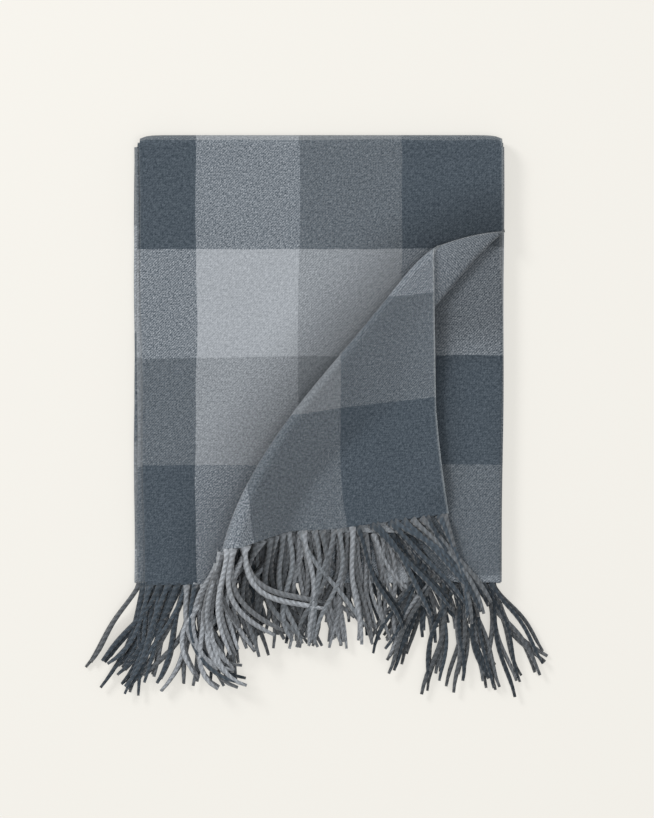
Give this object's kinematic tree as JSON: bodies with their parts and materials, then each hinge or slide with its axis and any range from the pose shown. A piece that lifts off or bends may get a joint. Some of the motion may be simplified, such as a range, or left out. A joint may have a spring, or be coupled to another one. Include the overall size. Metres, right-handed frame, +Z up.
{
  "type": "folded throw blanket",
  "caption": "Plaid wool-look throw blanket folded into a flat rectangular stack, one corner pushed up into a soft pleat, with twisted fringe along the hem.",
  "frame": {"origin": "centre of the bounding box in plan, at the surface the blanket lies on", "axes": "+Y from the fringed hem towards the top fold, +X to the right seen from above with the top fold away from the viewer, +Z up"},
  "size_m": [0.4113, 0.504, 0.0595],
  "materials": {
    "cloth_face": "brushed woven twill",
    "cloth_corner": "brushed woven twill",
    "cloth_layers": "brushed woven twill",
    "cloth_folds": "brushed woven twill",
    "fringe": "twisted yarn"
  },
  "bodies": {
    "lower_half": {"lower_leaf_1": "cloth_layers", "lower_leaf_2": "cloth_layers", "lower_leaf_3": "cloth_layers", "lower_leaf_4": "cloth_layers", "lower_leaf_5": "cloth_layers", "lower_leaf_6": "cloth_layers", "lower_leaf_7": "cloth_layers", "lower_leaf_8": "cloth_layers", "top_fold_1": "cloth_folds", "top_fold_2": "cloth_folds", "top_fold_3": "cloth_folds", "top_fold_4": "cloth_folds", "top_fold_5": "cloth_folds", "top_fold_6": "cloth_folds", "top_fold_7": "cloth_folds", "top_fold_8": "cloth_folds", "hem_fold_1": "cloth_folds", "hem_fold_2": "cloth_folds", "hem_fold_3": "cloth_folds", "hem_fold_4": "cloth_folds", "left_fold_1": "cloth_folds", "left_fold_5": "cloth_folds", "right_fold_3": "cloth_folds"},
    "upper_half": {"upper_leaf_1": "cloth_layers", "upper_leaf_2": "cloth_layers", "upper_leaf_3": "cloth_layers", "upper_leaf_4": "cloth_layers", "upper_leaf_5": "cloth_layers", "upper_leaf_6": "cloth_layers", "face_leaf": "cloth_face", "face_lining": "cloth_face", "pleat_face": "cloth_face", "pleat_lining": "cloth_face", "left_fold_9": "cloth_folds", "left_fold_13": "cloth_folds", "right_fold_11": "cloth_folds", "hem_fringe_1": "fringe", "hem_fringe_2": "fringe", "hem_fringe_3": "fringe", "hem_fringe_4": "fringe", "hem_fringe_5": "fringe", "hem_fringe_6": "fringe"},
    "corner": {"corner_face": "cloth_corner", "corner_lining": "cloth_corner", "arch_fringe_1": "fringe", "arch_fringe_2": "fringe"},
    "side_fringe": {"left_fringe_1": "fringe", "left_fringe_2": "fringe", "left_fringe_3": "fringe", "left_fringe_4": "fringe", "left_fringe_5": "fringe", "left_fringe_6": "fringe", "left_fringe_7": "fringe", "left_fringe_8": "fringe"},
    "corner_fringe": {"corner_fringe_1": "fringe", "corner_fringe_2": "fringe"}
  },
  "joints": [
    {"name": "top_fold_opening", "type": "hinge", "parent": "lower_half", "child": "upper_half", "pos_m": [0, 0.24135, 0.01065], "axis": [-1, 0, 0], "range_deg": [0, 165], "deforming": ["top_fold_1", "top_fold_2", "top_fold_3", "top_fold_4", "top_fold_5", "top_fold_6", "top_fold_7", "top_fold_8"]},
    {"name": "corner_turn", "type": "hinge", "parent": "upper_half", "child": "corner", "pos_m": [0.0903, 0.12858, 0.03614], "axis": [-0.5503, -0.8333, 0.0521], "range_deg": [0, 110]},
    {"name": "side_fringe_lift", "type": "hinge", "parent": "upper_half", "child": "side_fringe", "pos_m": [-0.13, -0.1435, 0.0213], "axis": [-1, 0, 0], "range_deg": [0, 90]},
    {"name": "corner_fringe_lift", "type": "hinge", "parent": "corner", "child": "corner_fringe", "pos_m": [0.0988, -0.08668, 0.02138], "axis": [-0.9934, -0.1147, 0], "range_deg": [0, 80]}
  ]
}
